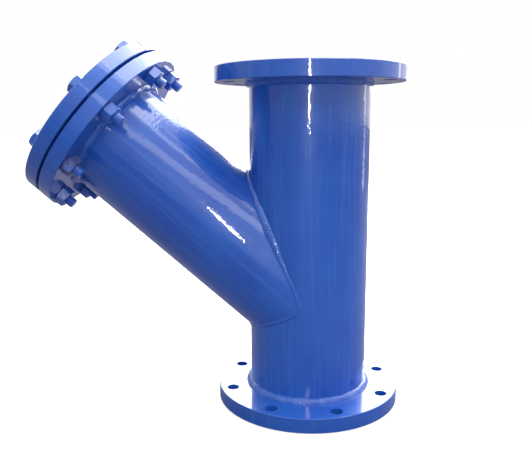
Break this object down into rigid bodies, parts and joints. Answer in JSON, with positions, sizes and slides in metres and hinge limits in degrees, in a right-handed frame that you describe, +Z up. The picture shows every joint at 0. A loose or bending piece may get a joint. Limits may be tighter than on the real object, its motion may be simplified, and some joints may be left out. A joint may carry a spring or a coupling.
{
  "type": "y strainer",
  "caption": "Flanged Y strainer welded from pipe: straight run, slanted branch with a bolted cover, drain plug, and a perforated screen that draws out of the branch.",
  "frame": {"origin": "centre of the inlet's raised face, at the bottom of the run; the bolt holes start 1.6 mm above it", "axes": "+Z up the run from inlet to outlet, -X towards the branch, Y across the plane of the branch"},
  "size_m": [0.691, 0.343, 0.6697],
  "materials": {
    "blue_enamel": "high gloss enamel over welded steel",
    "painted_bolting": "gloss enamel brushed over hexagon bolting, with a little rust",
    "bare_steel": "machined, dull",
    "gasket_fibre": "matt compressed sheet",
    "zinc_plated_steel": "zinc plated",
    "sealing_rubber": "matt",
    "stainless_sheet": "mill finish stainless",
    "stainless_wire_cloth": "woven wire"
  },
  "bodies": {
    "welded_body": {"run_pipe": "blue_enamel", "branch_pipe": "blue_enamel", "inlet_flange": "blue_enamel", "outlet_flange": "blue_enamel", "branch_flange": "blue_enamel", "inlet_flange_weld": "blue_enamel", "outlet_flange_weld": "blue_enamel", "branch_flange_weld": "blue_enamel", "inlet_seal_weld": "blue_enamel", "outlet_seal_weld": "blue_enamel", "branch_seal_weld": "blue_enamel", "branch_saddle_weld": "blue_enamel", "seat_plate": "bare_steel", "seat_ring": "bare_steel"},
    "cover": {"cover": "blue_enamel", "drain_coupling": "blue_enamel", "drain_coupling_weld": "blue_enamel"},
    "cover_bolts": {"cover_bolts": "painted_bolting"},
    "cover_nuts": {"cover_nuts": "painted_bolting"},
    "gasket": {"cover_gasket": "gasket_fibre"},
    "screen": {"screen_cage": "stainless_sheet", "screen_mesh": "stainless_wire_cloth", "screen_inner_ring": "stainless_sheet", "screen_outer_ring": "stainless_sheet", "screen_handle": "stainless_sheet"},
    "plug_washer": {"drain_plug_washer": "sealing_rubber"},
    "drain_plug": {"drain_plug": "zinc_plated_steel"}
  },
  "joints": [
    {"name": "cover_slide", "type": "slide", "parent": "welded_body", "child": "cover", "axis": [-0.766, 0, 0.6428], "range_m": [0, 0.9]},
    {"name": "bolts_slide", "type": "slide", "parent": "welded_body", "child": "cover_bolts", "axis": [-0.766, 0, 0.6428], "range_m": [0, 1.035]},
    {"name": "nuts_slide", "type": "slide", "parent": "welded_body", "child": "cover_nuts", "axis": [0.766, 0, -0.6428], "range_m": [0, 0.054]},
    {"name": "gasket_slide", "type": "slide", "parent": "welded_body", "child": "gasket", "axis": [-0.766, 0, 0.6428], "range_m": [0, 0.72]},
    {"name": "screen_slide", "type": "slide", "parent": "welded_body", "child": "screen", "axis": [-0.766, 0, 0.6428], "range_m": [0, 0.558]},
    {"name": "plug_lift", "type": "slide", "parent": "cover", "child": "plug_washer", "axis": [-0.766, 0, 0.6428], "range_m": [0, 0.01847]},
    {"name": "plug_turn", "type": "hinge", "parent": "plug_washer", "child": "drain_plug", "pos_m": [-0.42217, 0, 0.54924], "axis": [-0.766, 0, 0.6428], "range_deg": [0, 2880]}
  ],
  "couplings": [
    {"joint": "bolts_slide", "follows": "cover_slide", "ratio": 1.15},
    {"joint": "nuts_slide", "follows": "cover_slide", "ratio": 0.06},
    {"joint": "gasket_slide", "follows": "cover_slide", "ratio": 0.8},
    {"joint": "screen_slide", "follows": "cover_slide", "ratio": 0.62},
    {"joint": "plug_turn", "follows": "plug_lift", "rad_per_m": 2721.2}
  ]
}
